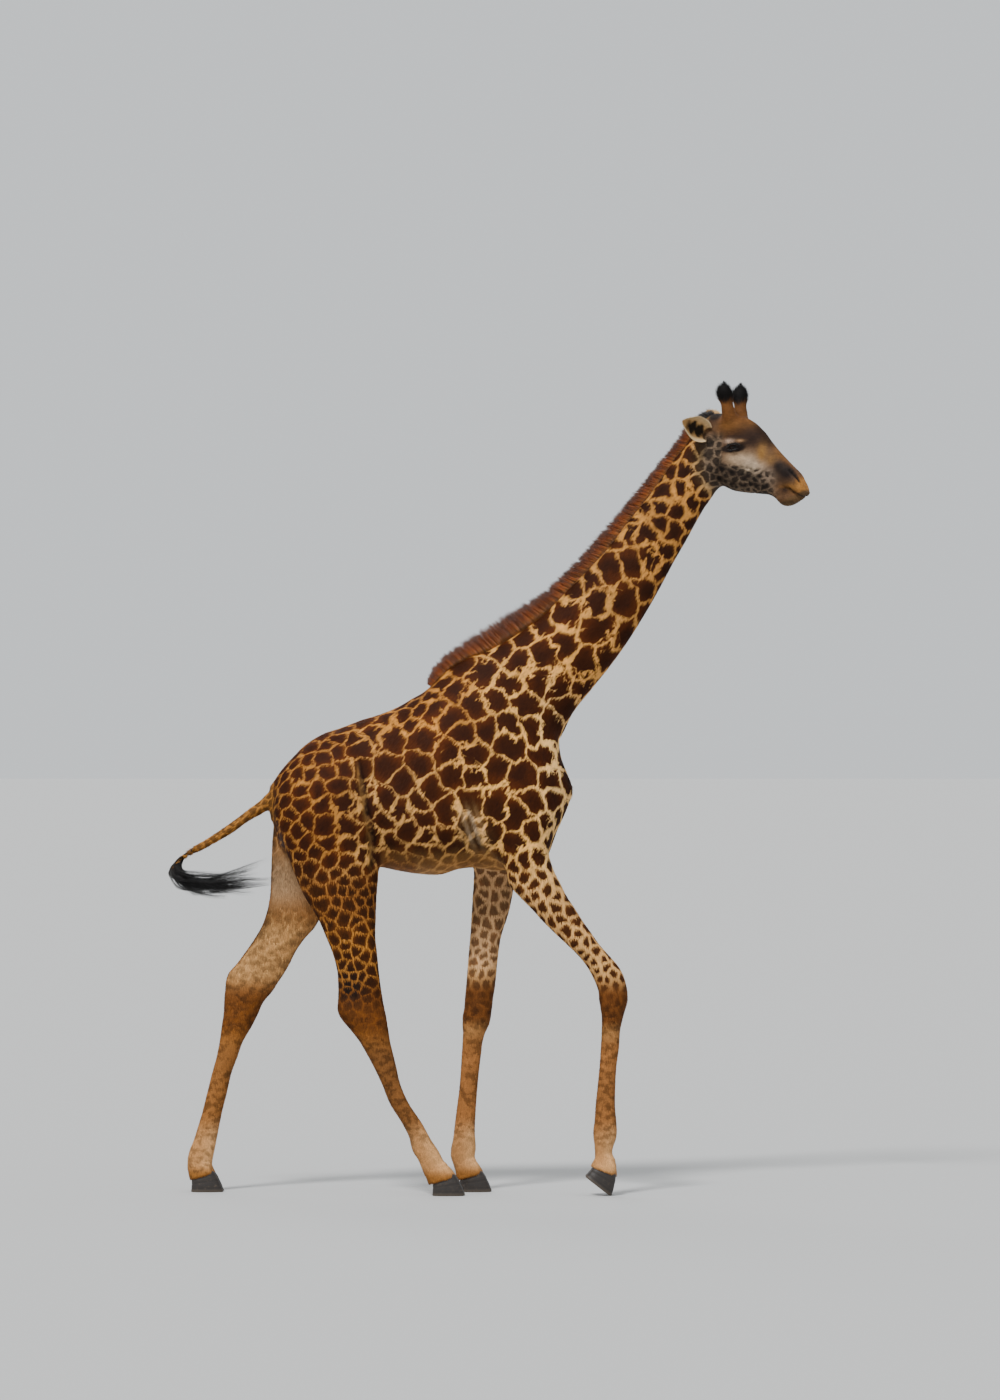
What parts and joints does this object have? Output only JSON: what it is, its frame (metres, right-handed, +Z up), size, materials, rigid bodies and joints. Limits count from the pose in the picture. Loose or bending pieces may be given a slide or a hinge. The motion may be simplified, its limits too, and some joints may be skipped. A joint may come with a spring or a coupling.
{
  "type": "masai giraffe model",
  "caption": "Life-size still model of a walking Masai giraffe with a patched coat, an upright mane, horns and a tufted tail, standing on its hooves.",
  "frame": {"origin": "middle of the outline on the floor the hooves stand on", "axes": "+X forwards, the way the animal walks; +Y to its left; +Z up"},
  "size_m": [3.2398, 0.616, 4.0847],
  "materials": {
    "hide": "short matt hair in dark brown patches on a tan ground",
    "hoof": "dull horn",
    "eye": "wet gloss",
    "mane_hair": "stiff upright hair",
    "tail_hair": "long coarse hair"
  },
  "bodies": {
    "root": {"trunk": "hide", "neck": "hide", "head": "hide", "ossicone_right": "hide", "ossicone_left": "hide", "ear_right": "hide", "ear_left": "hide", "tail": "hide", "fore_leg_right": "hide", "fore_cannon_right": "hide", "fore_leg_left": "hide", "fore_cannon_left": "hide", "hind_leg_right": "hide", "hind_cannon_right": "hide", "hind_leg_left": "hide", "hind_cannon_left": "hide", "fore_hoof_right_inner": "hoof", "fore_hoof_right_outer": "hoof", "fore_hoof_left_inner": "hoof", "fore_hoof_left_outer": "hoof", "hind_hoof_right_inner": "hoof", "hind_hoof_right_outer": "hoof", "hind_hoof_left_inner": "hoof", "hind_hoof_left_outer": "hoof", "eye_right": "eye", "eye_left": "eye", "mane": "mane_hair", "tail_switch": "tail_hair"}
  },
  "joints": []
}
